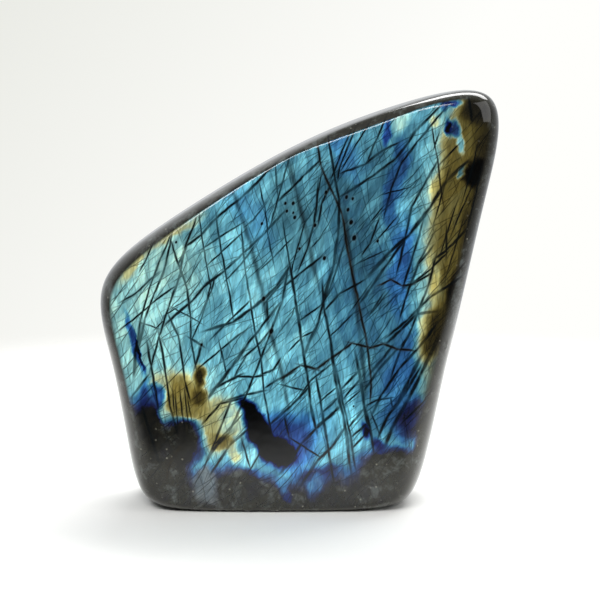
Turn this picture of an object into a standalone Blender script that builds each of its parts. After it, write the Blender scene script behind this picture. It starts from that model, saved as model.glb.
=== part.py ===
"""Labradorite freeform: one polished upright stone that stands on its sawn base.

Frame: metres, +Z up, the origin at the middle of the base, the broad flashing face to -Y.
Run with: blender --background --python part.py

The stone is a closed surface of two parameters. One runs round its outline as seen from the
front. The other runs over its edge, from the middle of the front face to the middle of the
back. Flats are then ground on it, the base among them.
"""

import bmesh
import bpy
import numpy as np

MM = 0.001

# The outline seen from the front, as the control points of a closed cubic B-spline that runs
# anticlockwise from the middle of the base. The third value is how far in from the outline the
# rounded edge reaches before the face is flat. All in millimetres.
OUTLINE = (
    (-6.0, -1.6, 4.0),     # base
    (14.0, -1.6, 4.0),
    (30.5, -1.5, 6.0),
    (39.5, 2.0, 10.0),     # right foot
    (43.8, 17.0, 11.0),
    (49.6, 46.0, 11.0),    # right side
    (56.0, 76.0, 11.0),
    (62.2, 105.0, 10.0),
    (66.5, 125.0, 9.0),    # top right corner
    (63.5, 137.0, 9.0),
    (49.0, 136.8, 5.0),    # peak
    (25.0, 129.2, 1.2),    # long slope
    (-3.0, 117.8, 2.4),
    (-30.0, 101.5, 3.5),
    (-55.0, 85.5, 6.0),    # left shoulder
    (-66.8, 72.0, 9.0),
    (-61.0, 49.0, 9.0),    # left side
    (-56.2, 22.0, 9.0),
    (-53.3, 3.0, 9.0),     # left foot
    (-43.0, -1.9, 6.0),
    (-26.0, -1.6, 4.0),
)
MIDDLE = (-1.0, 64.0)      # the point that the rings of the faces close on

HALF_DEPTH_FOOT = 23.0     # half the thickness at the base
HALF_DEPTH_TOP = 18.0      # and at the peak
HEIGHT = 136.0             # where that taper ends
RIM_FORWARD = 10.0         # how far in front of the middle the rim passes at the peak
FRONT_DOME = 1.6           # how much the front face bulges
BACK_DOME = 2.6            # and the back
BACK_EDGE = 1.8            # how much wider the rounded edge is behind than in front
EDGE_SQUARENESS = 2.6      # 2 gives elliptical edges, more gives squarer ones

# Flats ground on the rounded stone: outward direction, a point on the flat, and how far to
# each side of the flat's rim the polish rounds it, in millimetres.
FLATS = (
    ((0.0, 0.0, -1.0), (0.0, 0.0, 0.0), 0.8),               # sawn base
    ((-0.25, -0.66, 0.71), (20.0, -17.6, 124.8), 0.4),      # bevel under the long slope
    ((0.30, 0.93, 0.20), (34.0, 19.0, 96.0), 5.0),          # back, upper right
    ((-0.34, 0.93, -0.06), (-42.0, 20.0, 44.0), 5.0),       # back, left
)

AROUND = 96                # points round each ring
EDGE_RINGS = 9             # rings over each rounded edge, front and back
FACE_RINGS = 7             # rings from there to the middle of each face


def closed_spline(points, count):
    """Return count points of the closed uniform cubic B-spline with these control points."""
    points = np.asarray(points)
    place = np.arange(count) * len(points) / count
    first = place.astype(int)
    t = (place - first)[:, None]
    weights = (
        (1 - t) ** 3,
        3 * t ** 3 - 6 * t ** 2 + 4,
        -3 * t ** 3 + 3 * t ** 2 + 3 * t + 1,
        t ** 3,
    )
    return sum(w * points[(first + step - 1) % len(points)] for step, w in enumerate(weights)) / 6


def half_surface(outline, edge, reach, dome, side):
    """Return the rings of one half of the stone, from its rim to the middle of its face.

    A point at the distance d in from the outline has gone sin(a) ** (2 / n) of the way from
    the rim to the face, where d is the edge width times 1 - cos(a) ** (2 / n): a superellipse
    of exponent n. Further in, the face is flat but for its dome.
    """
    power = 2 / EDGE_SQUARENESS
    angle = np.linspace(0, np.pi / 2, EDGE_RINGS + 1)[:, None]
    inset = edge * (1 - np.cos(angle).clip(0) ** power)
    rise = np.sin(angle) ** power + 0 * inset
    inward = np.linspace(0, 1, FACE_RINGS + 1)[1:, None]
    inset = np.vstack((inset, edge + (reach - edge) * inward))
    rise = np.vstack((rise, np.ones((FACE_RINGS, len(edge)))))

    scale = (1 - inset / reach)[..., None]
    flat = MIDDLE + scale * (outline - MIDDLE)
    height = flat[..., 1] / HEIGHT
    rim = -RIM_FORWARD * height
    face = HALF_DEPTH_FOOT + (HALF_DEPTH_TOP - HALF_DEPTH_FOOT) * height
    face = side * (face + dome * (1 - scale[..., 0] ** 2))
    return np.stack((flat[..., 0], rim + rise * (face - rim), flat[..., 1]), axis=-1)


def grind(points, direction, place, softness):
    """Push the points that stand outside a plane back onto it, with a rounded rim."""
    direction = np.array(direction) / np.linalg.norm(direction)
    height = (points - np.array(place)) @ direction
    rounded = -((softness - height) ** 2) / (4 * softness)
    lowered = np.where(height < -softness, height, np.where(height > softness, 0, rounded))
    return points + (lowered - height)[..., None] * direction


def stone_rings():
    """Return the rings of the whole stone in millimetres, from the front's middle to the back's."""
    spline = closed_spline(OUTLINE, AROUND)
    outline, edge = spline[:, :2], spline[:, 2]
    ahead = np.roll(outline, -1, axis=0) - np.roll(outline, 1, axis=0)
    outward = np.stack((ahead[:, 1], -ahead[:, 0]), axis=1)
    outward /= np.linalg.norm(outward, axis=1)[:, None]
    reach = ((outline - MIDDLE) * outward).sum(axis=1)

    front = half_surface(outline, edge, reach, FRONT_DOME, -1)
    back = half_surface(outline, edge * BACK_EDGE, reach, BACK_DOME, 1)
    rings = np.concatenate((front[::-1], back[1:]))
    for direction, place, softness in FLATS:
        rings = grind(rings, direction, place, softness)

    low = rings.min(axis=(0, 1))
    high = rings.max(axis=(0, 1))
    rings[..., :2] -= (low + high)[:2] / 2
    return rings


def stone_mesh(name):
    """Return the stone as one closed mesh, its first and last rings closed to points."""
    rings = stone_rings() * MM
    bm = bmesh.new()
    first_pole = bm.verts.new(rings[0, 0])
    last_pole = bm.verts.new(rings[-1, 0])
    loops = [[bm.verts.new(point) for point in ring] for ring in rings[1:-1]]
    for here in range(AROUND):
        after = (here + 1) % AROUND
        bm.faces.new((first_pole, loops[0][here], loops[0][after]))
        bm.faces.new((last_pole, loops[-1][after], loops[-1][here]))
        for outer, inner in zip(loops[1:], loops[:-1]):
            bm.faces.new((inner[here], outer[here], outer[after], inner[after]))
    bmesh.ops.recalc_face_normals(bm, faces=bm.faces)
    bmesh.ops.triangulate(bm, faces=bm.faces)
    mesh = bpy.data.meshes.new(name)
    bm.to_mesh(mesh)
    bm.free()
    mesh.shade_smooth()
    return mesh


def polished_labradorite():
    """Return the stone's material: grey-blue feldspar with a glassy polish."""
    material = bpy.data.materials.new("polished_labradorite")
    material.use_nodes = True
    shader = material.node_tree.nodes["Principled BSDF"]
    shader.inputs["Base Color"].default_value = (0.11, 0.22, 0.26, 1.0)
    shader.inputs["Roughness"].default_value = 0.12
    shader.inputs["Metallic"].default_value = 0.0
    return material


def main():
    """Clear the scene and add the stone."""
    for thing in list(bpy.data.objects):
        bpy.data.objects.remove(thing)
    stone = bpy.data.objects.new("stone", stone_mesh("stone"))
    stone.data.materials.append(polished_labradorite())
    bpy.context.scene.collection.objects.link(stone)


if __name__ == "__main__":
    main()
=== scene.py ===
"""Labradorite freeform, dressed: the polished stone, its colours, and the table it stands on.

The stone is a closed surface of two parameters with its flats ground on and its chips let in.
Its finish is one material. Everything in it is worked out from places in millimetres: zones of
the blue and gold flash, the cleavage cracks that cross them, and the grey feldspar between.
"""

import bpy
import mathutils
import numpy as np
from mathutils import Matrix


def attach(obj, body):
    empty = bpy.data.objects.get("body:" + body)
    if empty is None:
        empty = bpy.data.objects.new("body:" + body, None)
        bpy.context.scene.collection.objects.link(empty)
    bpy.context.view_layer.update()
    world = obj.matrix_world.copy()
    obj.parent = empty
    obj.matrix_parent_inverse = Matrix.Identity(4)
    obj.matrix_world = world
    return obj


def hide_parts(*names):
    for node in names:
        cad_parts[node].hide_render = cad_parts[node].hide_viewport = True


bl_info = {
    "name": "Labradorite freeform",
    "version": (1, 0, 0),
    "blender": (4, 5, 0),
    "location": "3D View > Sidebar > Labradorite",
    "description": "A polished labradorite freeform on a pale table under soft light",
    "category": "Add Mesh",
}

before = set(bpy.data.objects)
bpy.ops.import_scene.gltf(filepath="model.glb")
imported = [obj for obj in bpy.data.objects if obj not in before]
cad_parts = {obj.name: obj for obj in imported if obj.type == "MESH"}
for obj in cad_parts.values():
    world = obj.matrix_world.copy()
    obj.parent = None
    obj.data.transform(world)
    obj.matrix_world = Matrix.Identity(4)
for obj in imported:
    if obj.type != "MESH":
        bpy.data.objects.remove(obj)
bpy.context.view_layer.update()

MM = 0.001

# ---- The stone's form, in millimetres: +Z up, the broad flashing face to -Y

# Control points of a closed cubic B-spline, anticlockwise from the middle of the base: x, z,
# and how far in from the outline the rounded edge reaches before the face is flat.
OUTLINE = (
    (-6.0, -1.6, 4.0),     # base
    (14.0, -1.6, 4.0),
    (30.5, -1.5, 6.0),
    (39.5, 2.0, 10.0),     # right foot
    (43.8, 17.0, 11.0),
    (49.6, 46.0, 11.0),    # right side
    (56.0, 76.0, 11.0),
    (62.2, 105.0, 10.0),
    (66.5, 125.0, 9.0),    # top right corner
    (63.5, 137.0, 9.0),
    (49.0, 136.8, 5.0),    # peak
    (25.0, 129.2, 1.2),    # long slope
    (-3.0, 117.8, 2.4),
    (-30.0, 101.5, 3.5),
    (-55.0, 85.5, 6.0),    # left shoulder
    (-66.8, 72.0, 9.0),
    (-61.0, 49.0, 9.0),    # left side
    (-56.2, 22.0, 9.0),
    (-53.3, 3.0, 9.0),     # left foot
    (-43.0, -1.9, 6.0),
    (-26.0, -1.6, 4.0),
)
MIDDLE = (-1.0, 64.0)      # the point that the rings of the faces close on
HEIGHT = 136.0             # where the taper ends
HALF_DEPTH_FOOT = 23.0     # half the thickness at the base
HALF_DEPTH_TOP = 18.0      # and where the taper ends
FRONT_DOME = 1.6           # how much the front face bulges
EDGE_SQUARENESS = 2.6      # 2 gives elliptical edges, more gives squarer ones

# Flats ground on the rounded stone: outward direction, a point on the flat, and how far to
# each side of the flat's rim the polish rounds it.
FLATS = (
    ((0.0, 0.0, -1.0), (0.0, 0.0, 0.0), 0.8),               # sawn base
    ((-0.25, -0.66, 0.71), (20.0, -17.6, 124.8), 0.4),      # bevel under the long slope
    ((0.30, 0.93, 0.20), (34.0, 19.0, 96.0), 5.0),          # back, upper right
    ((-0.34, 0.93, -0.06), (-42.0, 20.0, 44.0), 5.0),       # back, left
)

# Chips and pits let into the surface: place, radius and depth.
CHIPS = (
    ((24.5, -22.0, 4.0), 1.2, 0.5),       # pit near the right foot
    ((-7.5, -21.5, 1.8), 1.6, 0.5),       # chips along the foot
    ((-16.0, -22.5, 1.2), 1.0, 0.4),
    ((53.5, -16.0, 69.5), 0.9, 0.4),      # nicks in the right edge
    ((48.5, -17.5, 54.0), 0.7, 0.3),
    ((35.0, -20.0, 13.5), 2.6, 0.35),     # rough patch low on the right
    ((58.5, -18.0, 127.0), 2.2, 0.4),     # rough corner at the peak
    ((-55.5, 12.0, 38.0), 1.6, 0.5),      # nicks on the sides and the back
    ((46.0, 14.0, 26.0), 1.8, 0.5),
    ((-12.0, 24.5, 20.0), 1.4, 0.5),
    ((22.0, 21.0, 88.0), 1.0, 0.4),
)

# Rings of the mesh: points round each, then rings over each part from front to back.
AROUND = 420
FRONT_EDGE_RINGS = 48
FRONT_FACE_RINGS = 80
BACK_EDGE_RINGS = 48
BACK_FACE_RINGS = 44

# ---- The camera's picture, in which the marks of the front are placed. Lengths in millimetres

PICTURE = 600              # the picture's width and height, in pixels
SENSOR = 36.0
CAMERA_LENS = 111.75       # focal length on that sensor
CAMERA_DISTANCE = 620.0    # from the camera to the point that it looks at
CAMERA_LOOK = (0.68, 0.0, 66.73)
CAMERA_TILT = np.radians(8.5)
PIXELS_PER_MM = 3.08       # on the front face
FACE_BULGE = 0.75          # how much of the front's dome the marks are taken to lie on

# ---- The stone's marks

FACE_DEPTH = -20.0         # the front face, and its opposite the back
ZONE_DEPTH = 27.0          # how far a mark of the front reaches into the stone
FAR = 9.0                  # a distance beyond every mark's rim
PIT_TURN = 0.3             # radians
BACK_BEGINS = (-2.0, 4.0)  # where the front's ground of colour gives way to the back's
FRONT_GROUND = (0.43, 1.0, 0.5)  # phase, strength and paleness under the zones
BACK_GROUND = (0.2, 0.10, 0.4)
ZONE_SLOW_BEND = (7.0, 7.0, 7.0)  # how far the wavers shift the zones and the cracks
ZONE_QUICK_BEND = (2.4, 2.4, 3.4)
CRACK_SLOW_BEND = (1.2, 1.2, 1.2)
CRACK_QUICK_BEND = (0.5, 0.5, 0.5)
WANDER = 9.0               # how far the families of fine cracks bend
STRIP_PHASE = 0.023        # how much the strips between them differ in colour
STRIP_SHADE = 0.12         # and in brightness
CLOUD_SHADE = 0.28         # how much clouds in the flash differ in brightness
STRIATION_SHADE = 0.30     # and the fine striations that run down through it
STRIATION_LEAN = np.radians(9.0)
STRIATION_LENGTHS = (0.7, 6.0, 9.0)
# The flash is a painted sheen in the base colour; at the pale end it is brighter than a lit surface
# gives back.
FLASH_BRIGHTNESS = (0.18, 2.25)  # where the paleness is 0 and where it is 1
FLASH_FULL = np.radians(22.0)    # how far a surface may turn from the front and flash fully
FLASH_GONE = np.radians(42.0)    # and where the flash is gone
MOTTLE = 0.30              # how much the feldspar's mottling differs in paleness
GRAIN_SPACING = 1.7        # between the pale grains of ore and mica

# The marks of the front were read off a pixel grid laid over the picture, and on_face
# carries each reading to the stone.

# The flash of the front, painted in this order: the middle of each zone (across, down), its
# half-width and half-height, all in pixels, how far it leans to the right in degrees, how soft
# its rim is, and then the phase of its colour (0 black, through blue, cyan and gold, to 1
# black), how strong the flash is, and how pale the feldspar or the flash is.
FRONT_ZONES = (
    (140, 300, 62, 120, 0, 0.55, 0.53, 1.0, 0.56),  # pale mint, left
    (168, 268, 30, 38, 40, 0.6, 0.55, 1.0, 0.58),  # pale shoulder
    (235, 330, 62, 70, 10, 0.7, 0.455, 1.0, 0.6),  # sky of the middle
    (300, 225, 26, 40, -14, 0.7, 0.43, 0.9, 0.33),  # dark above the middle
    (362, 195, 40, 50, 25, 0.6, 0.4, 0.8, 0.3),  # teal under the bevel
    (366, 292, 36, 62, 8, 0.6, 0.37, 0.85, 0.39),  # teal, middle right
    (352, 240, 14, 55, -16, 0.7, 0.38, 0.75, 0.28),  # dusk beside the gold crack
    (345, 146, 34, 12, 62, 0.6, 0.34, 0.95, 0.66),  # azure near the bevel
    (250, 212, 40, 16, 58, 0.7, 0.355, 0.9, 0.64),  # azure, left of the slope
    (322, 410, 46, 44, 0, 0.6, 0.435, 1.0, 0.72),  # bright sky below
    (222, 395, 26, 20, 30, 0.7, 0.5, 1.0, 0.62),  # bright, lower left
    (300, 440, 30, 34, 20, 0.5, 0.345, 1.0, 0.58),  # azure, lower middle
    (385, 385, 18, 50, 20, 0.6, 0.36, 0.75, 0.4),  # slate, low right
    (396, 183, 10, 40, 6, 0.6, 0.25, 0.85, 0.32),  # royal band, high
    (404, 265, 12, 48, 5, 0.55, 0.265, 1.0, 0.56),  # royal band, middle
    (405, 368, 15, 58, 16, 0.6, 0.29, 0.9, 0.38),  # royal band, low
    (478, 225, 62, 200, 5, 0.13, 0.5, 1.0, 0.5),  # cyan band
    (486, 222, 60, 150, 7, 0.1, 0.665, 1.0, 0.44),  # yellow band
    (491, 205, 54, 145, 7, 0.14, 0.785, 0.9, 0.3),  # olive band
    (503, 205, 36, 150, 8, 0.25, 0.9, 0.5, 0.34),  # dark rim, right
    (434, 282, 5, 16, 8, 0.5, 0.71, 1.0, 0.66),  # gold streak
    (421, 325, 5, 13, 10, 0.5, 0.6, 1.0, 0.58),  # pale blob
    (386, 134, 4, 12, 15, 0.5, 0.17, 1.0, 0.5),  # violet corner
    (403, 121, 8, 12, 30, 0.5, 0.55, 1.0, 0.62),  # pale top
    (438, 120, 6, 6, 45, 0.5, 0.65, 1.0, 0.72),  # yellow top
    (461, 143, 3, 8, 0, 0.6, 0.48, 1.0, 0.5),  # cyan, top right
    (451, 105, 9, 3, 0, 0.7, 0.13, 1.0, 0.5),  # violet, top
    (458, 128, 4, 8, 0, 0.6, 0.24, 0.7, 0.42),  # blue of the eye
    (452, 126, 3, 8, 0, 0.6, 0.04, 0.85, 0.2),  # eye
    (481, 108, 15, 14, 0, 0.5, 0.95, 0.3, 0.25),  # dark top corner
    (461, 171, 3, 8, 20, 0.6, 0.3, 0.5, 0.3),  # blue of the spot
    (473, 174, 12, 16, 15, 0.35, 0.99, 1.0, 0.0),  # spot
    (455, 298, 9, 24, 10, 0.5, 0.98, 0.95, 0.1),  # dark, right
    (437, 335, 15, 30, 10, 0.6, 0.88, 0.7, 0.16),  # dark network, right
    (434, 388, 14, 34, 12, 0.5, 0.6, 0.16, 0.36),  # grey green, right
    (414, 422, 15, 20, 25, 0.5, 0.12, 0.35, 0.34),  # grey violet, right
    (434, 440, 17, 66, 14, 0.3, 0.06, 0.04, 0.44),  # matrix, right foot
    (398, 482, 42, 33, 15, 0.25, 0.06, 0.03, 0.48),  # matrix, low right
    (381, 446, 10, 6, 35, 0.6, 0.14, 0.9, 0.3),  # indigo edge
    (364, 434, 5, 7, 0, 0.5, 0.06, 1.0, 0.2),  # dark blue speck
    (330, 506, 70, 26, -6, 0.4, 0.1, 0.05, 0.4),  # foot
    (318, 476, 24, 8, -4, 0.7, 0.15, 0.7, 0.3),  # indigo foot
    (317, 487, 7, 13, 18, 0.5, 0.31, 0.62, 0.5),  # blue grey foot
    (146, 476, 44, 76, -10, 0.2, 0.06, 0.03, 0.46),  # matrix, left foot
    (240, 506, 66, 34, 6, 0.3, 0.07, 0.04, 0.52),  # matrix, foot
    (287, 440, 27, 28, 0, 0.5, 0.175, 1.0, 0.5),  # ultramarine of the wedge
    (257, 431, 12, 36, -26, 0.22, 0.0, 1.0, 0.0),  # wedge
    (281, 450, 15, 14, -10, 0.28, 0.0, 1.0, 0.0),  # wedge lobe
    (253, 465, 6, 14, 8, 0.5, 0.47, 1.0, 0.64),  # pale foot of the wedge
    (256, 477, 5, 4, 0, 0.6, 0.24, 1.0, 0.4),  # blue foot of the wedge
    (281, 487, 4, 12, -6, 0.5, 0.31, 0.9, 0.45),  # azure splinter
    (286, 500, 4, 6, -20, 0.6, 0.14, 0.8, 0.3),  # indigo splinter
    (221, 428, 22, 28, 12, 0.35, 0.675, 1.0, 0.46),  # gold left of the wedge
    (232, 421, 10, 12, 20, 0.6, 0.6, 1.0, 0.62),  # cream
    (205, 412, 8, 10, -20, 0.5, 0.755, 1.0, 0.66),  # orange
    (226, 441, 13, 6, 25, 0.6, 0.8, 0.9, 0.42),  # brown gold
    (237, 456, 6, 13, -20, 0.5, 0.66, 1.0, 0.6),  # gold low
    (178, 402, 26, 27, 0, 0.4, 0.77, 0.95, 0.44),  # comb gold
    (159, 387, 9, 13, -15, 0.5, 0.655, 1.0, 0.56),  # comb green
    (198, 377, 4, 12, -8, 0.7, 0.9, 0.8, 0.15),  # brown
    (201, 397, 8, 8, 0, 0.6, 0.87, 1.0, 0.3),  # brown knot
    (133, 268, 4, 22, 42, 0.6, 0.66, 0.9, 0.5),  # yellow fringe, left
    (172, 234, 4, 32, 54, 0.6, 0.66, 0.85, 0.5),  # yellow fringe, slope
    (133, 343, 3, 32, -12, 0.5, 0.22, 1.0, 0.45),  # left blue streak
    (138, 352, 2, 22, -10, 0.6, 0.03, 1.0, 0.1),  # left black streak
    (141, 394, 5, 10, 20, 0.5, 0.27, 1.0, 0.48),  # blue low left, outer
    (155, 399, 6, 10, -20, 0.5, 0.23, 1.0, 0.45),  # blue low left, inner
    (149, 425, 12, 26, -12, 0.5, 0.04, 0.3, 0.24),  # dark boundary
    (165, 421, 6, 14, -10, 0.45, 0.57, 0.95, 0.5),  # green tongue
    (181, 441, 25, 21, 6, 0.35, 0.04, 0.3, 0.36),  # black granules
    (206, 485, 13, 20, 4, 0.35, 0.3, 0.06, 0.88),  # grey window
    (249, 489, 13, 14, 0, 0.4, 0.1, 0.04, 0.44),  # grey window, right
)

# Cracks in the front: the width of each in pixels, and then its points.
DARK_FRACTURES = (
    # left
    (2.6, (180, 262), (187, 246), (201, 234.5), (213, 221), (241, 197), (272, 168)),
    (2.4, (200, 289), (224, 271), (241, 254.5), (265.5, 232.5), (282, 214.5)),
    (1.8, (226, 279), (240, 265), (252, 248)),
    (2.4, (280, 198), (293, 186), (304, 175.5), (319, 163)),
    (2.8, (220, 274), (204.5, 285), (192, 299.5), (167, 323)),
    (2.0, (154, 277), (138, 292), (123, 299.5)),
    (2.0, (173, 288), (153, 303), (121, 328.5)),
    (2.0, (170.5, 238), (160, 259), (151, 285), (141, 320), (136, 344)),
    (2.2, (172, 237), (165, 268), (154.5, 295), (146, 319), (138, 350)),
    (3.6, (140, 335), (135, 352), (133, 372)),
    (2.2, (195, 220), (184, 251), (178.6, 273), (169, 307), (160, 335), (150, 368)),
    (1.8, (211, 283), (201, 318), (192, 338)),
    (2.2, (172, 243), (185.5, 287), (190, 320), (191, 338), (195.5, 366)),
    (2.4, (159.7, 337), (166, 382), (170, 406), (175.5, 429)),
    (2.2, (170, 319), (179, 337), (185.5, 382), (189, 398)),
    (2.6, (147, 345), (150, 366), (157, 404)),
    (2.0, (216, 219), (222, 251), (226, 280), (232, 314)),
    (1.6, (199, 219.5), (208, 274), (210, 290)),
    (1.4, (167, 314), (175.5, 308.6), (199, 321)),
    (1.4, (144.5, 323), (156, 328), (163, 322)),
    (1.8, (238, 224.5), (204.5, 247)),
    (1.6, (240, 234.5), (222, 251), (207, 263.5)),
    (1.6, (265, 205), (252, 221), (246, 225.5)),
    (1.8, (151, 247), (144.5, 262), (140, 271)),
    # upper middle
    (2.0, (241, 231), (245.5, 267), (249, 300), (254.5, 332), (260, 360), (264.5, 392),
     (271.5, 432)),
    (1.6, (261, 185.5), (264.5, 210), (268, 234), (273, 261)),
    (1.8, (275.5, 169), (278, 191)),
    (1.8, (288, 160), (281, 189), (272, 223)),
    (2.0, (319, 183), (315, 218), (308, 249), (300, 267)),
    (1.6, (304, 225), (293, 263), (291, 270)),
    (1.6, (284, 226), (290, 269)),
    (2.2, (320, 258), (300, 274), (286, 284)),
    (1.4, (320, 239), (313, 245.5)),
    (1.4, (290, 241), (273, 258), (262, 268)),
    (2.6, (330, 141), (335.5, 179), (339, 199), (339, 240)),
    (2.0, (349.5, 134.5), (339, 161), (333, 177)),
    (2.0, (353, 135.5), (341, 168), (338, 177)),
    (1.8, (367, 128), (354.5, 148), (343.6, 168)),
    (2.0, (384.5, 121), (376, 139), (368, 160)),
    (2.2, (397, 143), (381, 152), (365.5, 163.5), (344, 172)),
    (2.6, (440, 108), (416, 131), (408, 143.5), (394.5, 159), (377, 173), (344, 193.5)),
    (2.2, (443.5, 112), (418, 141.5), (400, 165), (391.5, 190), (385, 213)),
    (2.4, (436, 163), (424, 186), (412.5, 206), (406, 235), (398, 271)),
    (3.6, (466, 162), (447, 180), (429, 208), (409, 234), (389, 254), (370, 273)),
    (2.8, (404.5, 241), (387, 264), (370, 289.5), (361, 300.5)),
    (1.8, (439, 134), (434.5, 147)),
    (2.0, (456, 146), (441.5, 162.5)),
    (2.8, (470, 101), (472, 119)),
    (2.2, (332, 183), (322, 203), (318, 222)),
    (1.8, (321, 177), (315.5, 208), (313.6, 222)),
    (1.6, (383, 208), (371, 220)),
    (1.4, (406, 190), (385, 194.5)),
    # middle
    (3.0, (289, 268), (276, 286), (263, 298), (251, 307), (233, 322), (210, 329.5)),
    (2.0, (248, 301.4), (231, 317.7), (214, 335)),
    (2.2, (280, 283), (266, 300), (267, 314)),
    (2.6, (279, 303), (259, 327), (244.5, 346)),
    (3.4, (246, 344), (231, 367), (217, 386), (209, 397)),
    (3.0, (289.5, 265), (294.5, 295), (302.7, 345), (307, 374), (311, 403), (317, 429)),
    (2.4, (287, 270), (282, 299.5), (267, 340), (254.5, 374), (241.6, 404), (230, 430)),
    (3.0, (330, 278), (318, 321), (309, 343), (306, 352)),
    (2.6, (322.7, 286), (324.5, 308), (330, 342)),
    (2.0, (300, 320), (321, 304), (332, 289)),
    (2.2, (243.6, 357), (256, 346), (267, 332)),
    (2.4, (262.7, 374), (272.7, 369.5), (280, 360.5)),
    (3.0, (240, 375), (227, 381), (214.5, 388.6)),
    (2.2, (237, 377), (254, 377), (263, 375)),
    (2.2, (267, 386), (277, 379), (291, 372)),
    (2.0, (330, 364), (310, 379.5), (302, 391)),
    (2.0, (282.7, 385), (302.7, 389.5)),
    (1.8, (236, 374), (245.5, 357)),
    (2.0, (200, 366), (220, 349.5), (245.5, 329)),
    (2.0, (220, 345), (226, 373)),
    (2.0, (200, 316), (210, 291), (213, 280)),
    (1.8, (303.6, 335), (312.7, 331)),
    (1.6, (281, 328.6), (292, 316), (295, 308)),
    (1.6, (290, 349.5), (301, 338)),
    (3.0, (339, 238), (333.6, 266), (322.7, 301)),
    (2.0, (342.7, 250), (330, 288), (323.6, 301)),
    (2.2, (363.6, 279.5), (340, 293), (326, 309.5)),
    (1.8, (350, 315), (330, 336)),
    (1.6, (369, 284), (353.6, 306)),
    (2.4, (421, 225), (412.7, 254), (404.5, 286)),
    (2.6, (430, 248.6), (418, 264), (405.5, 299.5), (401, 315)),
    (2.6, (463, 233), (446, 249.5), (434.5, 257.6), (427.6, 287), (411.5, 327.6), (400, 350.6),
     (392, 375)),
    (2.8, (460, 279), (430, 297), (408, 318), (389, 334)),
    (3.0, (434, 312), (416, 314), (400, 329), (390, 340.5)),
    (2.0, (379, 218.6), (369, 244), (362.7, 254)),
    (1.6, (378, 238.6), (397, 217.7)),
    (1.8, (382, 295), (371, 310)),
    (1.6, (389, 292), (371, 312)),
    (1.6, (362, 260.5), (382, 252)),
    (1.4, (398, 294), (385.5, 306)),
    # right
    (2.2, (447, 230), (446, 253), (431, 269), (411.5, 284)),
    (2.0, (432, 236), (418, 262)),
    (2.8, (434.5, 327.6), (419, 347), (400, 369.5), (382, 395), (373.6, 412)),
    (2.2, (408, 335), (402, 345)),
    (2.8, (391, 347), (383.6, 358), (371, 372)),
    (2.8, (395.5, 350.5), (377, 373), (366, 388)),
    (4.0, (434.5, 348), (420, 376), (408, 400.5), (392.7, 429.5), (387, 442)),
    (3.8, (420, 358.6), (409, 380.5), (397, 404)),
    (2.8, (421, 368), (400, 402), (388, 417), (380, 435)),
    (2.0, (439, 383), (422.7, 403), (404.5, 422)),
    (1.6, (432, 412), (417, 429.5)),
    (1.8, (369, 405), (379, 400.5), (390, 398.6)),
    (1.8, (390, 399.5), (392.7, 407.7), (400, 402)),
    (2.0, (372.7, 415), (380, 434)),
    # lower middle
    (3.4, (330, 340.5), (337, 386), (342, 415), (350, 465)),
    (2.4, (337, 371), (346, 417), (354.5, 464)),
    (3.4, (357, 360.5), (364.5, 406), (367, 424)),
    (2.8, (367, 415), (373.6, 448)),
    (2.6, (316.6, 378), (321, 406), (327.7, 443), (333, 478.6)),
    (3.0, (338.6, 407), (317, 428.6), (303, 443), (288.6, 463), (280.5, 471)),
    (2.6, (308, 386), (292, 405), (272, 423.5)),
    (3.0, (342, 431), (332, 447), (317.7, 461), (302, 483)),
    (2.0, (291, 438.6), (310.5, 449.5), (319.5, 456)),
    (2.0, (285.4, 416), (288, 435)),
    (2.4, (342.7, 386), (358, 371)),
    (2.4, (344.5, 397), (362, 377)),
    (1.8, (345.5, 403), (360, 391)),
    (2.4, (349, 427), (362.7, 410.5)),
    (2.4, (352, 436), (365.5, 425)),
    (2.2, (352.7, 447), (362, 437)),
    (2.6, (320, 425), (332, 415), (337, 408)),
    (2.2, (322, 412), (337, 398)),
    (1.8, (320, 401), (335.5, 388)),
    (2.4, (230, 400.5), (247, 394), (262, 391)),
    (2.4, (240, 398), (221, 405), (204.5, 422)),
    (2.4, (232, 400.5), (222.7, 424), (216, 439.5), (206, 465)),
    (2.6, (247, 431), (230, 446), (213, 471)),
    (2.0, (240, 417), (222.7, 436), (216, 443)),
    (3.6, (228, 434), (217, 444), (209, 456)),
    (1.8, (243, 441), (249.5, 467)),
    (1.8, (260.5, 452), (250.5, 472)),
    # lower left
    (2.6, (190, 338), (202, 345)),
    (2.6, (202, 345), (195, 365)),
    (2.4, (145.5, 378), (133.6, 394)),
    (2.8, (143.6, 412), (151, 438), (158, 459)),
    (1.6, (176, 398), (178, 426)),
    (1.8, (180, 395), (183, 425)),
    (1.6, (184.5, 394), (188, 424)),
    (1.6, (188, 400), (191.5, 418)),
    (1.4, (172.5, 392), (174, 410)),
    # right edge
    (1.8, (470, 190), (452, 232)),
    (1.6, (477, 150), (463, 200)),
    (1.8, (449, 170), (436, 216)),
    (1.8, (480, 178), (466, 235)),
    (1.6, (462, 226), (448, 272)),
    (1.6, (456, 205), (441, 250)),
)
# Cracks that iron has stained.
BROWN_FRACTURES = (
    (2.6, (318.5, 147), (322, 168), (335, 198), (341, 214), (350, 257), (359, 303), (365.5, 340)),
    (2.4, (365.5, 340), (370, 380.5), (371, 400)),
    (1.8, (433, 129), (435.5, 150), (442, 199)),
    (2.4, (430, 273), (412.7, 284), (402.7, 286), (392, 280.5), (380, 285)),
    (2.8, (282, 377), (301, 365), (317, 369), (330, 359), (344.5, 348.6), (352, 343.5)),
    (2.8, (352, 343.5), (371, 347), (383.6, 343), (398, 349.5), (413, 351)),
    (2.0, (469, 261), (449, 282)),
    (2.2, (167, 476), (170, 462), (178, 450)),
)
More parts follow.
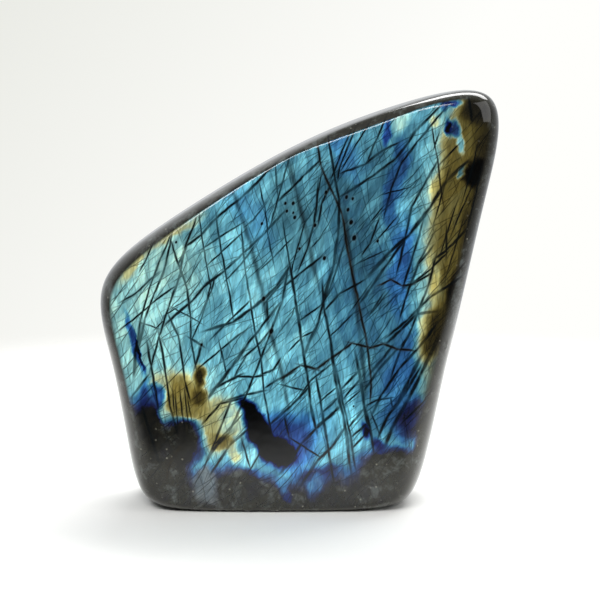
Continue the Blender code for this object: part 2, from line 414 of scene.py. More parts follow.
# Broad dim ones that lie under the surface.
SOFT_FRACTURES = (
    (5.0, (233.5, 193), (240, 212), (251, 245.5), (262, 292), (269, 327), (277, 355), (284, 385)),
    (5.5, (289, 162), (297, 192), (307, 237), (318, 284)),
    (4.0, (284.5, 387), (289, 406)),
    (5.0, (345, 215), (352, 268), (360, 335), (366, 400)),
    (4.0, (392.5, 409.5), (380, 434)),
)
# Pits: middle and radius.
PITS = (
    (285, 203.6, 2.0), (293, 203.6, 2.2), (287, 211, 1.8), (295.5, 217.3, 2.2), (293.6, 212, 1.6),
    (262.3, 223, 1.8), (315.5, 226, 2.2), (300, 249, 1.8), (326.8, 192.7, 2.2),
    (346.4, 197.3, 2.2), (352.7, 198.6, 2.0), (348.2, 210, 2.2), (351, 222, 2.8), (354, 238, 3.0),
    (378, 240.5, 2.0), (325, 257.5, 2.4), (176.4, 243, 1.6), (202, 345, 2.0), (264, 298, 2.4),
    (272, 331, 3.0), (354, 405.5, 1.2),
)

# The same for the back, in millimetres: patches of a fainter flash.
BACK_ZONES = (
    (-24.0, 62.0, 20.0, 34.0, 24, 0.5, 0.26, 0.55, 0.4),
    (-34.0, 40.0, 9.0, 16.0, 30, 0.5, 0.52, 0.60, 0.5),
    (18.0, 84.0, 15.0, 30.0, -12, 0.5, 0.34, 0.50, 0.4),
    (34.0, 60.0, 8.0, 26.0, -8, 0.5, 0.68, 0.50, 0.5),
    (4.0, 40.0, 12.0, 18.0, 10, 0.6, 0.18, 0.50, 0.3),
    (30.0, 108.0, 14.0, 9.0, 30, 0.6, 0.20, 0.45, 0.4),
    (-8.0, 92.0, 10.0, 8.0, 20, 0.6, 0.60, 0.40, 0.5),
    (-2.0, 14.0, 40.0, 10.0, 0, 0.4, 0.2, 0.03, 0.35),
)

# Families of fine parallel cracks: the lean of their run in degrees, how far apart they lie,
# half the width of a crack, how far it runs, and how dark it is. In millimetres.
CRACK_FAMILIES = (
    (-11.0, 1.9, 0.10, 16.0, 0.60),
    (-17.0, 3.7, 0.14, 22.0, 0.60),
    (30.0, 2.3, 0.12, 12.0, 0.75),
    (41.0, 2.9, 0.15, 15.0, 0.85),
    (52.0, 2.1, 0.12, 10.0, 0.75),
    (66.0, 4.1, 0.15, 13.0, 0.65),
)

# ---- Colours

# The flash by its phase: the interference colours of thin lamellae, thinnest first.
FLASH = (
    (0.00, "#040406"),
    (0.06, "#06081E"),
    (0.12, "#10267A"),
    (0.20, "#2A4F90"),
    (0.28, "#3B7DBC"),
    (0.36, "#5198B8"),
    (0.44, "#70BACC"),
    (0.52, "#96D0CF"),
    (0.58, "#B4DAC8"),
    (0.64, "#C8CE98"),
    (0.70, "#AEA768"),
    (0.78, "#7F7238"),
    (0.86, "#4D4320"),
    (0.93, "#241F13"),
    (1.00, "#0B0A08"),
)
VEIL = "#15191D"
GRAIN = "#8C8A7C"
# Painted highlight on the rims of the pits, and painted shade in their holes.
PIT_RIM_HIGHLIGHT = "#7F9A9C"
PIT_HOLE_SHADE = "#040405"

# Sockets of the node groups: where to look, and the oval to look from.
VECTOR = "NodeSocketVector"
FLOAT = "NodeSocketFloat"
OVAL_SOCKETS = {"Place": VECTOR, "Centre": VECTOR, "Turn": VECTOR, "Radii": VECTOR}

# Softboxes round the stone, all turned to face one point: place, and width and height. Metres.
AIM = (0.0, 0.0, 0.06)
SOFTBOXES = {
    "key": ((-0.32, -0.80, 0.85), (0.8, 0.35)),
    "fill": ((0.75, -0.45, 0.55), (0.9, 0.9)),
    "top": ((0.25, 0.45, 0.85), (0.9, 0.35)),
}


def linear(hex_colour):
    """Return the linear colour of an sRGB hex value."""
    parts = [int(hex_colour[i:i + 2], 16) / 255 for i in (1, 3, 5)]
    return [p / 12.92 if p <= 0.04045 else ((p + 0.055) / 1.055) ** 2.4 for p in parts]


def colour_property(name, description, hex_colour):
    """Return a colour property whose default is an sRGB hex value."""
    return bpy.props.FloatVectorProperty(
        name=name, description=description, subtype="COLOR",
        min=0.0, max=1.0, default=linear(hex_colour))


class StoneSettings(bpy.types.PropertyGroup):
    """Sizes and colours of the stone."""

    half_depth_foot: bpy.props.FloatProperty(
        name="Half depth at the foot", description="Half the thickness at the base",
        default=HALF_DEPTH_FOOT * MM, unit="LENGTH", subtype="DISTANCE")
    half_depth_top: bpy.props.FloatProperty(
        name="Half depth at the top", description="Half the thickness at the peak",
        default=HALF_DEPTH_TOP * MM, unit="LENGTH", subtype="DISTANCE")
    rim_forward: bpy.props.FloatProperty(
        name="Rim forward", description="How far in front of the middle the rim passes at the peak",
        default=10.0 * MM, unit="LENGTH", subtype="DISTANCE")
    front_dome: bpy.props.FloatProperty(
        name="Front dome", description="How much the front face bulges",
        default=FRONT_DOME * MM, unit="LENGTH", subtype="DISTANCE")
    back_dome: bpy.props.FloatProperty(
        name="Back dome", description="How much the back face bulges",
        default=2.6 * MM, unit="LENGTH", subtype="DISTANCE")
    back_edge: bpy.props.FloatProperty(
        name="Back edge", description="How much wider the rounded edge is behind than in front",
        default=1.8)
    polish_wave: bpy.props.FloatProperty(
        name="Polish wave", description="Depth of the slow waves that hand polishing leaves",
        default=0.10 * MM, unit="LENGTH", subtype="DISTANCE")
    feldspar_dark: colour_property(
        "Dark feldspar", "The darkest of the stone where it doesn't flash", "#0C0B09")
    feldspar: colour_property(
        "Feldspar", "The stone where it doesn't flash", "#2C2B22")
    feldspar_pale: colour_property(
        "Pale feldspar", "The palest of the stone where it doesn't flash", "#747B79")
    side_paleness: bpy.props.FloatProperty(
        name="Side paleness", description="How pale the stone is on its edges, from 0 to 1",
        default=0.50)
    crack: colour_property(
        "Cracks", "The shadow in a cleavage crack", "#050B0E")
    stain: colour_property(
        "Iron stain", "The brown that has crept into some of the cracks", "#2C2310")


class StageSettings(bpy.types.PropertyGroup):
    """The table, its light and the camera."""

    table: colour_property("Table", "The colour of the table", "#F9F9F6")
    surround: colour_property("Surround", "What the camera sees beyond the table", "#FFFFFC")
    shaded_surround: colour_property(
        "Shaded surround", "The same at the upper left, where it is a little dimmer", "#E8E9E3")
    distance: bpy.props.FloatProperty(
        name="Camera distance", description="From the camera to the middle of the stone",
        default=CAMERA_DISTANCE * MM, unit="LENGTH", subtype="DISTANCE")
    elevation: bpy.props.FloatProperty(
        name="Camera elevation", description="How far the camera looks down",
        default=CAMERA_TILT, unit="ROTATION", subtype="ANGLE")
    lens: bpy.props.FloatProperty(
        name="Lens", description="Focal length in millimetres on a 36 mm sensor", default=CAMERA_LENS)
    key_power: bpy.props.FloatProperty(
        name="Key light", description="Power of the softbox at the upper left", default=9.0,
        unit="POWER")
    fill_power: bpy.props.FloatProperty(
        name="Fill light", description="Power of the softbox on the right", default=4.0,
        unit="POWER")
    top_power: bpy.props.FloatProperty(
        name="Top light", description="Power of the softbox overhead", default=9.0, unit="POWER")


# ---- The stone's surface


def closed_spline(points, count):
    """Return count points of the closed uniform cubic B-spline with these control points.

    At the fraction t of a span, the four control points round it weigh (1 - t)^3,
    3t^3 - 6t^2 + 4, -3t^3 + 3t^2 + 3t + 1 and t^3, each over 6.
    """
    points = np.asarray(points)
    place = np.arange(count) * len(points) / count
    first = place.astype(int)
    t = (place - first)[:, None]
    weights = (
        (1 - t) ** 3,
        3 * t ** 3 - 6 * t ** 2 + 4,
        -3 * t ** 3 + 3 * t ** 2 + 3 * t + 1,
        t ** 3,
    )
    return sum(w * points[(first + step - 1) % len(points)] for step, w in enumerate(weights)) / 6


def half_surface(outline, edge, reach, halves, rim_forward, dome, side, edge_rings, face_rings):
    """Return the rings of one half of the stone, from its rim to the middle of its face.

    A point at the distance d in from the outline has gone sin(a) ** (2 / n) of the way from
    the rim to the face, where d is the edge width times 1 - cos(a) ** (2 / n): a superellipse
    of exponent n. Further in, the face is flat but for its dome.
    """
    power = 2 / EDGE_SQUARENESS
    angle = np.linspace(0, np.pi / 2, edge_rings + 1)[:, None]
    inset = edge * (1 - np.cos(angle).clip(0) ** power)
    rise = np.sin(angle) ** power + 0 * inset
    inward = np.linspace(0, 1, face_rings + 1)[1:, None]
    inset = np.vstack((inset, edge + (reach - edge) * inward))
    rise = np.vstack((rise, np.ones((face_rings, len(edge)))))

    scale = (1 - inset / reach)[..., None]
    flat = MIDDLE + scale * (outline - MIDDLE)
    height = flat[..., 1] / HEIGHT
    rim = -rim_forward * height
    face = halves[0] + (halves[1] - halves[0]) * height
    face = side * (face + dome * (1 - scale[..., 0] ** 2))
    return np.stack((flat[..., 0], rim + rise * (face - rim), flat[..., 1]), axis=-1)


def grind(points, direction, place, softness):
    """Push the points that stand outside a plane back onto it, with a rounded rim.

    Within the softness s of the plane, the height h becomes -(s - h)^2 / 4s, which meets both
    the untouched surface and the plane without a kink.
    """
    direction = np.array(direction) / np.linalg.norm(direction)
    height = (points - np.array(place)) @ direction
    rounded = -((softness - height) ** 2) / (4 * softness)
    lowered = np.where(height < -softness, height, np.where(height > softness, 0, rounded))
    return points + (lowered - height)[..., None] * direction


def ring_normals(rings):
    """Return outward normals: the cross product of the steps round and across the rings."""
    around = np.roll(rings, -1, axis=1) - np.roll(rings, 1, axis=1)
    across = np.gradient(rings, axis=0)
    normals = np.cross(around, across)
    length = np.linalg.norm(normals, axis=-1, keepdims=True)
    return normals / np.maximum(length, 1e-9)


def stone_rings(settings):
    """Return the rings of the whole stone in millimetres, from the front's middle to the back's.

    Its relief is a sum of three slow sines along the normal, and for each chip its depth times
    exp(-(d / r)^2), where d is the distance from the chip and r its radius.
    """
    spline = closed_spline(OUTLINE, AROUND)
    outline, edge = spline[:, :2], spline[:, 2]
    ahead = np.roll(outline, -1, axis=0) - np.roll(outline, 1, axis=0)
    outward = np.stack((ahead[:, 1], -ahead[:, 0]), axis=1)
    outward /= np.linalg.norm(outward, axis=1)[:, None]
    reach = ((outline - MIDDLE) * outward).sum(axis=1)

    halves = (settings.half_depth_foot / MM, settings.half_depth_top / MM)
    forward = settings.rim_forward / MM
    front = half_surface(
        outline, edge, reach, halves, forward, settings.front_dome / MM, -1,
        FRONT_EDGE_RINGS, FRONT_FACE_RINGS)
    back = half_surface(
        outline, edge * settings.back_edge, reach, halves, forward, settings.back_dome / MM, 1,
        BACK_EDGE_RINGS, BACK_FACE_RINGS)
    rings = np.concatenate((front[::-1], back[1:]))
    for direction, place, softness in FLATS:
        rings = grind(rings, direction, place, softness)
    low = rings.min(axis=(0, 1))
    high = rings.max(axis=(0, 1))
    rings[..., :2] -= (low + high)[:2] / 2

    normals = ring_normals(rings)
    x, y, z = rings[..., 0], rings[..., 1], rings[..., 2]
    wave = np.sin(x / 9.0 + z / 13.0) + np.sin(z / 7.5 - y / 6.0) + np.sin((x - z) / 16.0 + 1.0)
    above_base = np.clip((z - 1.0) / 5.0, 0.0, 1.0)
    relief = wave * settings.polish_wave / MM / 3 * above_base
    for place, radius, depth in CHIPS:
        distance = np.linalg.norm(rings - np.array(place), axis=-1)
        relief -= depth * np.exp(-((distance / radius) ** 2))
    relief[[0, -1]] = relief[[0, -1]].mean(axis=1, keepdims=True)
    return rings + relief[..., None] * normals


def closed_mesh(name, rings):
    """Return a smooth closed mesh of rings whose first and last are single points."""
    count, around = rings.shape[:2]
    loops = rings[1:-1].reshape(-1, 3)
    points = np.vstack((loops, rings[0, :1], rings[-1, :1])) * MM
    here = np.arange(around)
    after = (here + 1) % around
    start = (np.arange(count - 3) * around)[:, None]
    quads = np.stack(
        (start + here, start + around + here, start + around + after, start + after), axis=-1)
    first_pole = np.full(around, len(loops))
    last = (count - 3) * around
    fans = np.vstack((
        np.stack((first_pole, here, after), axis=-1),
        np.stack((first_pole + 1, last + after, last + here), axis=-1),
    ))
    mesh = bpy.data.meshes.new(name)
    mesh.from_pydata(points.tolist(), [], quads.reshape(-1, 4).tolist() + fans.tolist())
    mesh.validate()
    mesh.shade_smooth()
    return mesh


# ---- Readings in the picture, carried to the front face


def to_half(value):
    """Return a length to the nearest half millimetre, which is as good as a reading is."""
    return round(2 * float(value)) / 2


def on_face(across, down):
    """Return the x and z, in millimetres, of the front face at a pixel of the picture.

    The face is taken as a plane that leans back with the stone's taper, part of the dome in
    front of its rim. The ray from the camera through the pixel is followed to that plane.
    """
    ahead = np.array((0.0, np.cos(CAMERA_TILT), -np.sin(CAMERA_TILT)))
    above = np.array((0.0, np.sin(CAMERA_TILT), np.cos(CAMERA_TILT)))
    camera = np.array(CAMERA_LOOK) - CAMERA_DISTANCE * ahead
    focal = CAMERA_LENS / SENSOR * PICTURE
    ray = ahead + np.array((across - PICTURE / 2, 0.0, 0.0)) / focal
    ray -= above * (down - PICTURE / 2) / focal
    taper = (HALF_DEPTH_FOOT - HALF_DEPTH_TOP) / HEIGHT
    depth = HALF_DEPTH_FOOT + FACE_BULGE * FRONT_DOME
    reach = (taper * camera[2] - camera[1] - depth) / (ray[1] - taper * ray[2])
    x, _, z = camera + reach * ray
    return to_half(x), to_half(z)


def zones_on_face(readings):
    """Return the zones of the front in millimetres."""
    return [
        (*on_face(across, down), to_half(half_width / PIXELS_PER_MM),
         to_half(half_height / PIXELS_PER_MM), *paint)
        for across, down, half_width, half_height, *paint in readings
    ]


def cracks_on_face(readings):
    """Return cracks of the front in millimetres: the half-width of each, then its points."""
    return [
        (round(width / 2 / PIXELS_PER_MM, 2), *(on_face(*point) for point in points))
        for width, *points in readings
    ]


# ---- Shader nodes


def add(tree, kind, links=None, out=0, **settings):
    """Add a node, apply its settings, link or set its inputs, and return one of its outputs."""
    node = tree.nodes.new(kind)
    for name, value in settings.items():
        setattr(node, name, value)
    for key, value in (links or {}).items():
        if isinstance(value, bpy.types.NodeSocket):
            tree.links.new(value, node.inputs[key])
        else:
            node.inputs[key].default_value = value
    return node.outputs[out]


def calculate(tree, operation, *values, clamp=False):
    """Return the result of a math node over these values."""
    return add(
        tree, "ShaderNodeMath", dict(enumerate(values)), operation=operation, use_clamp=clamp)


def calculate_vector(tree, operation, *values, out="Vector"):
    """Return the result of a vector math node over these values."""
    return add(
        tree, "ShaderNodeVectorMath", dict(enumerate(values)), out=out, operation=operation)


def scaled(tree, vector, amount):
    """Return the vector times a number."""
    return add(tree, "ShaderNodeVectorMath", {0: vector, "Scale": amount}, operation="SCALE")


def remap(tree, value, low, high, to_low=0.0, to_high=1.0, kind="LINEAR"):
    """Return the value carried from one range to another and held at its ends."""
    return add(
        tree, "ShaderNodeMapRange", {0: value, 1: low, 2: high, 3: to_low, 4: to_high},
        interpolation_type=kind)


def falloff(tree, value, near, far, amount=1.0):
    """Return the amount where the value is near, easing to nothing where it is far."""
    return remap(tree, value, far, near, 0.0, amount, "SMOOTHSTEP")


def mix(tree, amount, under, over):
    """Return one colour laid over another by an amount."""
    return add(
        tree, "ShaderNodeMix", {0: amount, 6: under, 7: over}, out=2, data_type="RGBA")


def noise(tree, place, length, detail=1.0, roughness=0.5, out="Fac"):
    """Return a noise of this length, in millimetres."""
    return add(
        tree, "ShaderNodeTexNoise",
        {"Vector": place, "Scale": 1 / length, "Detail": detail, "Roughness": roughness},
        out=out)


def drawn_out(tree, place, shift, lean, lengths):
    """Return the place leant and measured in these lengths, to draw a noise out along them."""
    return add(
        tree, "ShaderNodeMapping", {0: place, 1: shift, 2: (0.0, lean, 0.0), 3: lengths},
        vector_type="TEXTURE")


def opaque(colour):
    """Return a linear colour with full alpha."""
    return (*colour, 1.0)


def node_group(name, inputs, outputs):
    """Return a new node group with these sockets: its tree, its inputs by name, its output."""
    tree = bpy.data.node_groups.new(name, "ShaderNodeTree")
    for title, kind in inputs.items():
        tree.interface.new_socket(title, in_out="INPUT", socket_type=kind)
    for title, kind in outputs.items():
        tree.interface.new_socket(title, in_out="OUTPUT", socket_type=kind)
    return tree, tree.nodes.new("NodeGroupInput").outputs, tree.nodes.new("NodeGroupOutput").inputs


def oval_group():
    """Return a group that gives the distance from a turned oval's middle: 1 on its rim."""
    turned, given, result = node_group("turned place", OVAL_SOCKETS, {"Place": VECTOR})
    local = add(
        turned, "ShaderNodeMapping",
        {0: given["Place"], 1: given["Centre"], 2: given["Turn"], 3: given["Radii"]},
        vector_type="TEXTURE")
    turned.links.new(local, result["Place"])

    oval, given, result = node_group("oval", OVAL_SOCKETS, {"Distance": FLOAT})
    local = add(
        oval, "ShaderNodeGroup", {name: given[name] for name in OVAL_SOCKETS}, node_tree=turned)
    oval.links.new(calculate_vector(oval, "LENGTH", local, out="Value"), result["Distance"])
    return oval


def nearer_group(oval):
    """Return a group that gives the lesser of a distance and the distance from an oval."""
    nearer, given, result = node_group(
        "nearer oval", {**OVAL_SOCKETS, "Nearest": FLOAT}, {"Nearest": FLOAT})
    distance = add(
        nearer, "ShaderNodeGroup", {name: given[name] for name in OVAL_SOCKETS}, node_tree=oval)
    nearest = calculate(nearer, "MINIMUM", distance, given["Nearest"])
    nearer.links.new(nearest, result["Nearest"])
    return nearer


def zone_group(oval):
    """Return a group that mixes a zone's paint over the state inside an oval."""
    paint = {"State": VECTOR, "Paint": VECTOR, "Inner": FLOAT, "Outer": FLOAT}
    zone, given, result = node_group(
        "painted zone", {**OVAL_SOCKETS, **paint}, {"State": VECTOR})
    distance = add(
        zone, "ShaderNodeGroup", {name: given[name] for name in OVAL_SOCKETS}, node_tree=oval)
    amount = falloff(zone, distance, given["Inner"], given["Outer"])
    state = add(
        zone, "ShaderNodeMix", {0: amount, 4: given["State"], 5: given["Paint"]}, out=1,
        data_type="VECTOR")
    zone.links.new(state, result["State"])
    return zone


# ---- The stone's finish


def paint_zones(tree, group, place, state, zones, depth):
    """Return the state with each zone mixed over it: its phase, strength and paleness."""
    for x, z, half_width, half_height, lean, softness, phase, strength, pale in zones:
        zone = {
            "Place": place,
            "Centre": (x, depth, z),
            "Turn": (0.0, np.radians(lean), 0.0),
            "Radii": (half_width, ZONE_DEPTH, half_height),
            "State": state,
            "Paint": (phase, strength, pale),
            "Inner": 1 - softness,
            "Outer": 1 + softness,
        }
        state = add(tree, "ShaderNodeGroup", zone, node_tree=group)
    return state


def all_zones(tree, place, zone_place, oval):
    """Return the phase, strength and paleness over the whole stone."""
    depth = add(tree, "ShaderNodeSeparateXYZ", {0: place}, out="Y")
    behind = remap(tree, depth, *BACK_BEGINS, kind="SMOOTHSTEP")
    state = add(
        tree, "ShaderNodeMix", {0: behind, 4: FRONT_GROUND, 5: BACK_GROUND}, out=1,
        data_type="VECTOR")
    zone = zone_group(oval)
    state = paint_zones(tree, zone, zone_place, state, zones_on_face(FRONT_ZONES), FACE_DEPTH)
    state = paint_zones(tree, zone, zone_place, state, BACK_ZONES, -FACE_DEPTH)
    parts = tree.nodes.new("ShaderNodeSeparateXYZ")
    tree.links.new(state, parts.inputs[0])
    return parts.outputs


def crack_distance(tree, group, place, readings):
    """Return the least distance from any of the cracks, in units of its half-width.

    Each stretch of a crack is a long thin oval from one of its points to the next, drawn out a
    little past both, so that the stretches run into each other and the ends taper.
    """
    nearest = FAR
    for half_width, *points in cracks_on_face(readings):
        for (x0, z0), (x1, z1) in zip(points, points[1:]):
            half_length = np.hypot(x1 - x0, z1 - z0) * 0.62 + 0.5
            stretch = {
                "Place": place,
                "Centre": ((x0 + x1) / 2, FACE_DEPTH, (z0 + z1) / 2),
                "Turn": (0.0, -np.arctan2(z1 - z0, x1 - x0), 0.0),
                "Radii": (half_length, ZONE_DEPTH, half_width),
                "Nearest": nearest,
            }
            nearest = add(tree, "ShaderNodeGroup", stretch, node_tree=group)
    return nearest


def pit_distance(tree, group, place):
    """Return the least distance from any of the pits, in units of its radius."""
    nearest = FAR
    for across, down, radius in PITS:
        x, z = on_face(across, down)
        radius = round(radius / PIXELS_PER_MM, 1)
        pit = {
            "Place": place,
            "Centre": (x, FACE_DEPTH, z),
            "Turn": (0.0, PIT_TURN, 0.0),
            "Radii": (radius * 0.8, ZONE_DEPTH, radius * 1.1),
            "Nearest": nearest,
        }
        nearest = add(tree, "ShaderNodeGroup", pit, node_tree=group)
    return nearest


def crack_family(tree, place, wander, lean, spacing, half_width, run, darkness, seed):
    """Return how dark a family of fine parallel cracks is, and a random value for each strip.

    The cracks are the edges of a one-dimensional Voronoi pattern across their run, bent by a
    slow wander, and a noise drawn out along the run breaks each into stretches.
    """
    turn = np.radians(lean)
    direction = (np.cos(turn) / spacing, 0.05, -np.sin(turn) / spacing)
    across = calculate_vector(tree, "DOT_PRODUCT", place, direction, out="Value")
    across = calculate(tree, "MULTIPLY_ADD", wander, WANDER / spacing, across)
    across = calculate(tree, "ADD", across, seed * 13.7)
    pattern = {"W": across, "Scale": 1.0, "Randomness": 0.9}
    edge = add(
        tree, "ShaderNodeTexVoronoi", pattern, out="Distance", voronoi_dimensions="1D",
        feature="DISTANCE_TO_EDGE")
    cell = add(
        tree, "ShaderNodeTexVoronoi", pattern, out="W", voronoi_dimensions="1D", feature="F1")
    strip = add(
        tree, "ShaderNodeTexWhiteNoise", {"W": cell}, out="Value", noise_dimensions="1D")
    along = drawn_out(tree, place, (seed * 41.0, 0.0, 0.0), turn, (spacing * 1.5, 9.0, run))
    presence = noise(tree, along, 1.0)
    presence = remap(tree, presence, 0.45, 0.66, 0.0, darkness, "SMOOTHSTEP")
    line = falloff(tree, edge, half_width / spacing * 0.4, half_width / spacing * 1.7)
    return calculate(tree, "MULTIPLY", line, presence), strip


def inner_flash(tree, place, zone_place, crack_place, phase, pale):
    """Return the colour of the flash, and how dark the families of fine cracks in it are.

    Clouds, striations and the strips between the cracks make it brighter or darker, and the
    strips change its phase a little too. The flash is a painted sheen: the lamellae's own pattern
    of colour put into the base colour, at its brightest brighter than a lit surface gives back.
    """
    wander = noise(tree, place, 30.0)
    brightness = remap(tree, pale, 0.0, 1.0, *FLASH_BRIGHTNESS)
    clouds = noise(tree, zone_place, 12.0, detail=4.0, roughness=0.6)
    clouds = remap(tree, clouds, 0.3, 0.7, 1 - CLOUD_SHADE, 1 + CLOUD_SHADE)
    brightness = calculate(tree, "MULTIPLY", brightness, clouds)
    along = drawn_out(tree, crack_place, (0.0, 0.0, 0.0), STRIATION_LEAN, STRIATION_LENGTHS)
    striations = noise(tree, along, 1.0, detail=2.0)
    striations = remap(tree, striations, 0.3, 0.7, 1 - STRIATION_SHADE, 1 + STRIATION_SHADE)
    brightness = calculate(tree, "MULTIPLY", brightness, striations)

    fine_cracks = 0.0
    for seed, family in enumerate(CRACK_FAMILIES):
        line, strip = crack_family(tree, crack_place, wander, *family, seed)
        fine_cracks = calculate(tree, "MAXIMUM", fine_cracks, line)
        phase = calculate(tree, "MULTIPLY_ADD", strip, STRIP_PHASE, phase)
        strip = remap(tree, strip, 0.0, 1.0, 1 - STRIP_SHADE, 1 + STRIP_SHADE)
        brightness = calculate(tree, "MULTIPLY", brightness, strip)
    phase = calculate(tree, "SUBTRACT", phase, len(CRACK_FAMILIES) * STRIP_PHASE / 2)

    ramp = tree.nodes.new("ShaderNodeValToRGB")
    tree.links.new(phase, ramp.inputs[0])
    while len(ramp.color_ramp.elements) < len(FLASH):
        ramp.color_ramp.elements.new(0.5)
    for element, (position, hex_colour) in zip(ramp.color_ramp.elements, FLASH):
        element.position = position
        element.color = opaque(linear(hex_colour))
    return scaled(tree, ramp.outputs["Color"], brightness), fine_cracks


def grey_feldspar(tree, settings, place, zone_place, facing, pale):
    """Return the colour of the stone where it doesn't flash: mottled, with pale grains in it."""
    mottle = noise(tree, zone_place, 5.0, detail=5.0, roughness=0.65)
    greyness = remap(tree, mottle, 0.3, 0.7, -MOTTLE, MOTTLE)
    pale = add(
        tree, "ShaderNodeMix", {0: facing, 2: settings.side_paleness, 3: pale},
        data_type="FLOAT")
    greyness = calculate(tree, "ADD", greyness, pale, clamp=True)
    body = tree.nodes.new("ShaderNodeValToRGB")
    tree.links.new(greyness, body.inputs[0])
    body.color_ramp.elements[0].color = opaque(settings.feldspar_dark)
    body.color_ramp.elements[1].color = opaque(settings.feldspar_pale)
    middle = body.color_ramp.elements.new(0.5)
    middle.color = opaque(settings.feldspar)

    grain = tree.nodes.new("ShaderNodeTexVoronoi")
    grain.inputs["Scale"].default_value = 1 / GRAIN_SPACING
    tree.links.new(place, grain.inputs["Vector"])
    chosen = add(tree, "ShaderNodeSeparateXYZ", {0: grain.outputs["Color"]}, out="X")
    chosen = remap(tree, chosen, 0.86, 0.92, 0.0, 0.8)
    grains = falloff(tree, grain.outputs["Distance"], 0.08, 0.26)
    grains = calculate(tree, "MULTIPLY", grains, chosen)
    return mix(tree, grains, body.outputs["Color"], opaque(linear(GRAIN)))


def lay_cracks(tree, settings, colour, place, crack_place, nearer, sealed_cracks):
    """Return the colour with soft veils, stained cracks and dark ones laid over it in turn."""
    veil = crack_distance(tree, nearer, crack_place, SOFT_FRACTURES)
    colour = mix(tree, falloff(tree, veil, 0.2, 1.6, 0.78), colour, opaque(linear(VEIL)))
    stained = crack_distance(tree, nearer, crack_place, BROWN_FRACTURES)
    colour = mix(tree, falloff(tree, stained, 0.5, 1.6, 0.9), colour, opaque(settings.stain))
    dark = falloff(tree, crack_distance(tree, nearer, crack_place, DARK_FRACTURES), 0.6, 1.6)
    dark = calculate(tree, "MAXIMUM", dark, falloff(tree, stained, 0.3, 0.9))
    depth = remap(tree, noise(tree, place, 6.0), 0.35, 0.55, 0.75, 0.98)
    dark = calculate(tree, "MULTIPLY", dark, depth)
    dark = calculate(tree, "MAXIMUM", dark, sealed_cracks)
    return mix(tree, dark, colour, opaque(settings.crack))


def polished_labradorite(settings):
    """Polished labradorite: feldspar, tumbled to a glassy polish, with a flash inside it.

    The polish gives sharp highlights over a body that looks lit from within: blue and gold
    where the lamellae face the eye, smoky grey where they don't, crossed by dark cleavage
    cracks that are sealed under the polish. The flash is a painted sheen: the lamellae's own
    pattern of colour put into the base colour, at its brightest brighter than a lit surface
    gives back. Feldspar's IOR is 1.56.
    """
    material = bpy.data.materials.new("polished_labradorite")
    material.use_nodes = True
    tree = material.node_tree
    shader = tree.nodes["Principled BSDF"]
    coordinates = tree.nodes.new("ShaderNodeTexCoord")
    place = scaled(tree, coordinates.outputs["Object"], 1 / MM)

    # Two wavers, one slow and one quick, bend the zones and the cracks.
    slow = noise(tree, place, 16.0, out="Color")
    quick = noise(tree, place, 3.0, detail=2.0, out="Color")
    slow = calculate_vector(tree, "SUBTRACT", slow, (0.5, 0.5, 0.5))
    quick = calculate_vector(tree, "SUBTRACT", quick, (0.5, 0.5, 0.5))
    zone_place = calculate_vector(tree, "MULTIPLY_ADD", slow, ZONE_SLOW_BEND, place)
    zone_place = calculate_vector(tree, "MULTIPLY_ADD", quick, ZONE_QUICK_BEND, zone_place)
    crack_place = calculate_vector(tree, "MULTIPLY_ADD", slow, CRACK_SLOW_BEND, place)
    crack_place = calculate_vector(tree, "MULTIPLY_ADD", quick, CRACK_QUICK_BEND, crack_place)

    # The lamellae's painted sheen shows only where the surface faces the front or the back.
    oval = oval_group()
    nearer = nearer_group(oval)
    phase, strength, pale = all_zones(tree, place, zone_place, oval)
    facing = add(tree, "ShaderNodeSeparateXYZ", {0: coordinates.outputs["Normal"]}, out="Y")
    facing = calculate(tree, "ABSOLUTE", facing)
    facing = falloff(tree, facing, np.cos(FLASH_FULL), np.cos(FLASH_GONE))
    strength = calculate(tree, "MULTIPLY", strength, facing)
    flash, fine_cracks = inner_flash(tree, place, zone_place, crack_place, phase, pale)
    body = grey_feldspar(tree, settings, place, zone_place, facing, pale)
    colour = mix(tree, strength, body, flash)

    # The fine cracks fade on the sides. Pits are black holes of painted shade, and the rims that the
    # polish has rounded carry a faint painted highlight.
    sealed = remap(tree, facing, 0.0, 1.0, 0.3, 1.0)
    sealed_cracks = calculate(tree, "MULTIPLY", fine_cracks, sealed)
    colour = lay_cracks(tree, settings, colour, place, crack_place, nearer, sealed_cracks)
    pits = pit_distance(tree, nearer, place)
    colour = mix(tree, falloff(tree, pits, 0.9, 1.7, 0.15), colour, opaque(linear(PIT_RIM_HIGHLIGHT)))
    colour = mix(tree, falloff(tree, pits, 0.6, 1.15), colour, opaque(linear(PIT_HOLE_SHADE)))
    tree.links.new(colour, shader.inputs["Base Color"])
    shader.inputs["Roughness"].default_value = 0.10
    shader.inputs["IOR"].default_value = 1.56

    # A trace of ripple in the polish, 5 mm long.
    ripple = noise(tree, place, 5.0)
    bump = add(
        tree, "ShaderNodeBump",
        {"Height": ripple, "Strength": 0.10, "Distance": 0.4 * MM}, out="Normal")
    tree.links.new(bump, shader.inputs["Normal"])
    return material


# ---- Stage


def white_table(settings):
    """A white laminate table top: dull, and fading into the bright surround."""
    material = bpy.data.materials.new("white_table")
    material.use_nodes = True
    tree = material.node_tree
    shader = tree.nodes["Principled BSDF"]
    shader.inputs["Base Color"].default_value = opaque(settings.table)
    shader.inputs["Roughness"].default_value = 0.6
    shader.inputs["Specular IOR Level"].default_value = 0.2
    where = add(tree, "ShaderNodeTexCoord", out="Object")
    radius = drawn_out(tree, where, (0.0, 0.08, 0.0), 0.0, (0.32, 0.28, 1.0))
    radius = calculate_vector(tree, "LENGTH", radius, out="Value")
    tree.links.new(falloff(tree, radius, 0.45, 1.0), shader.inputs["Alpha"])
    return material


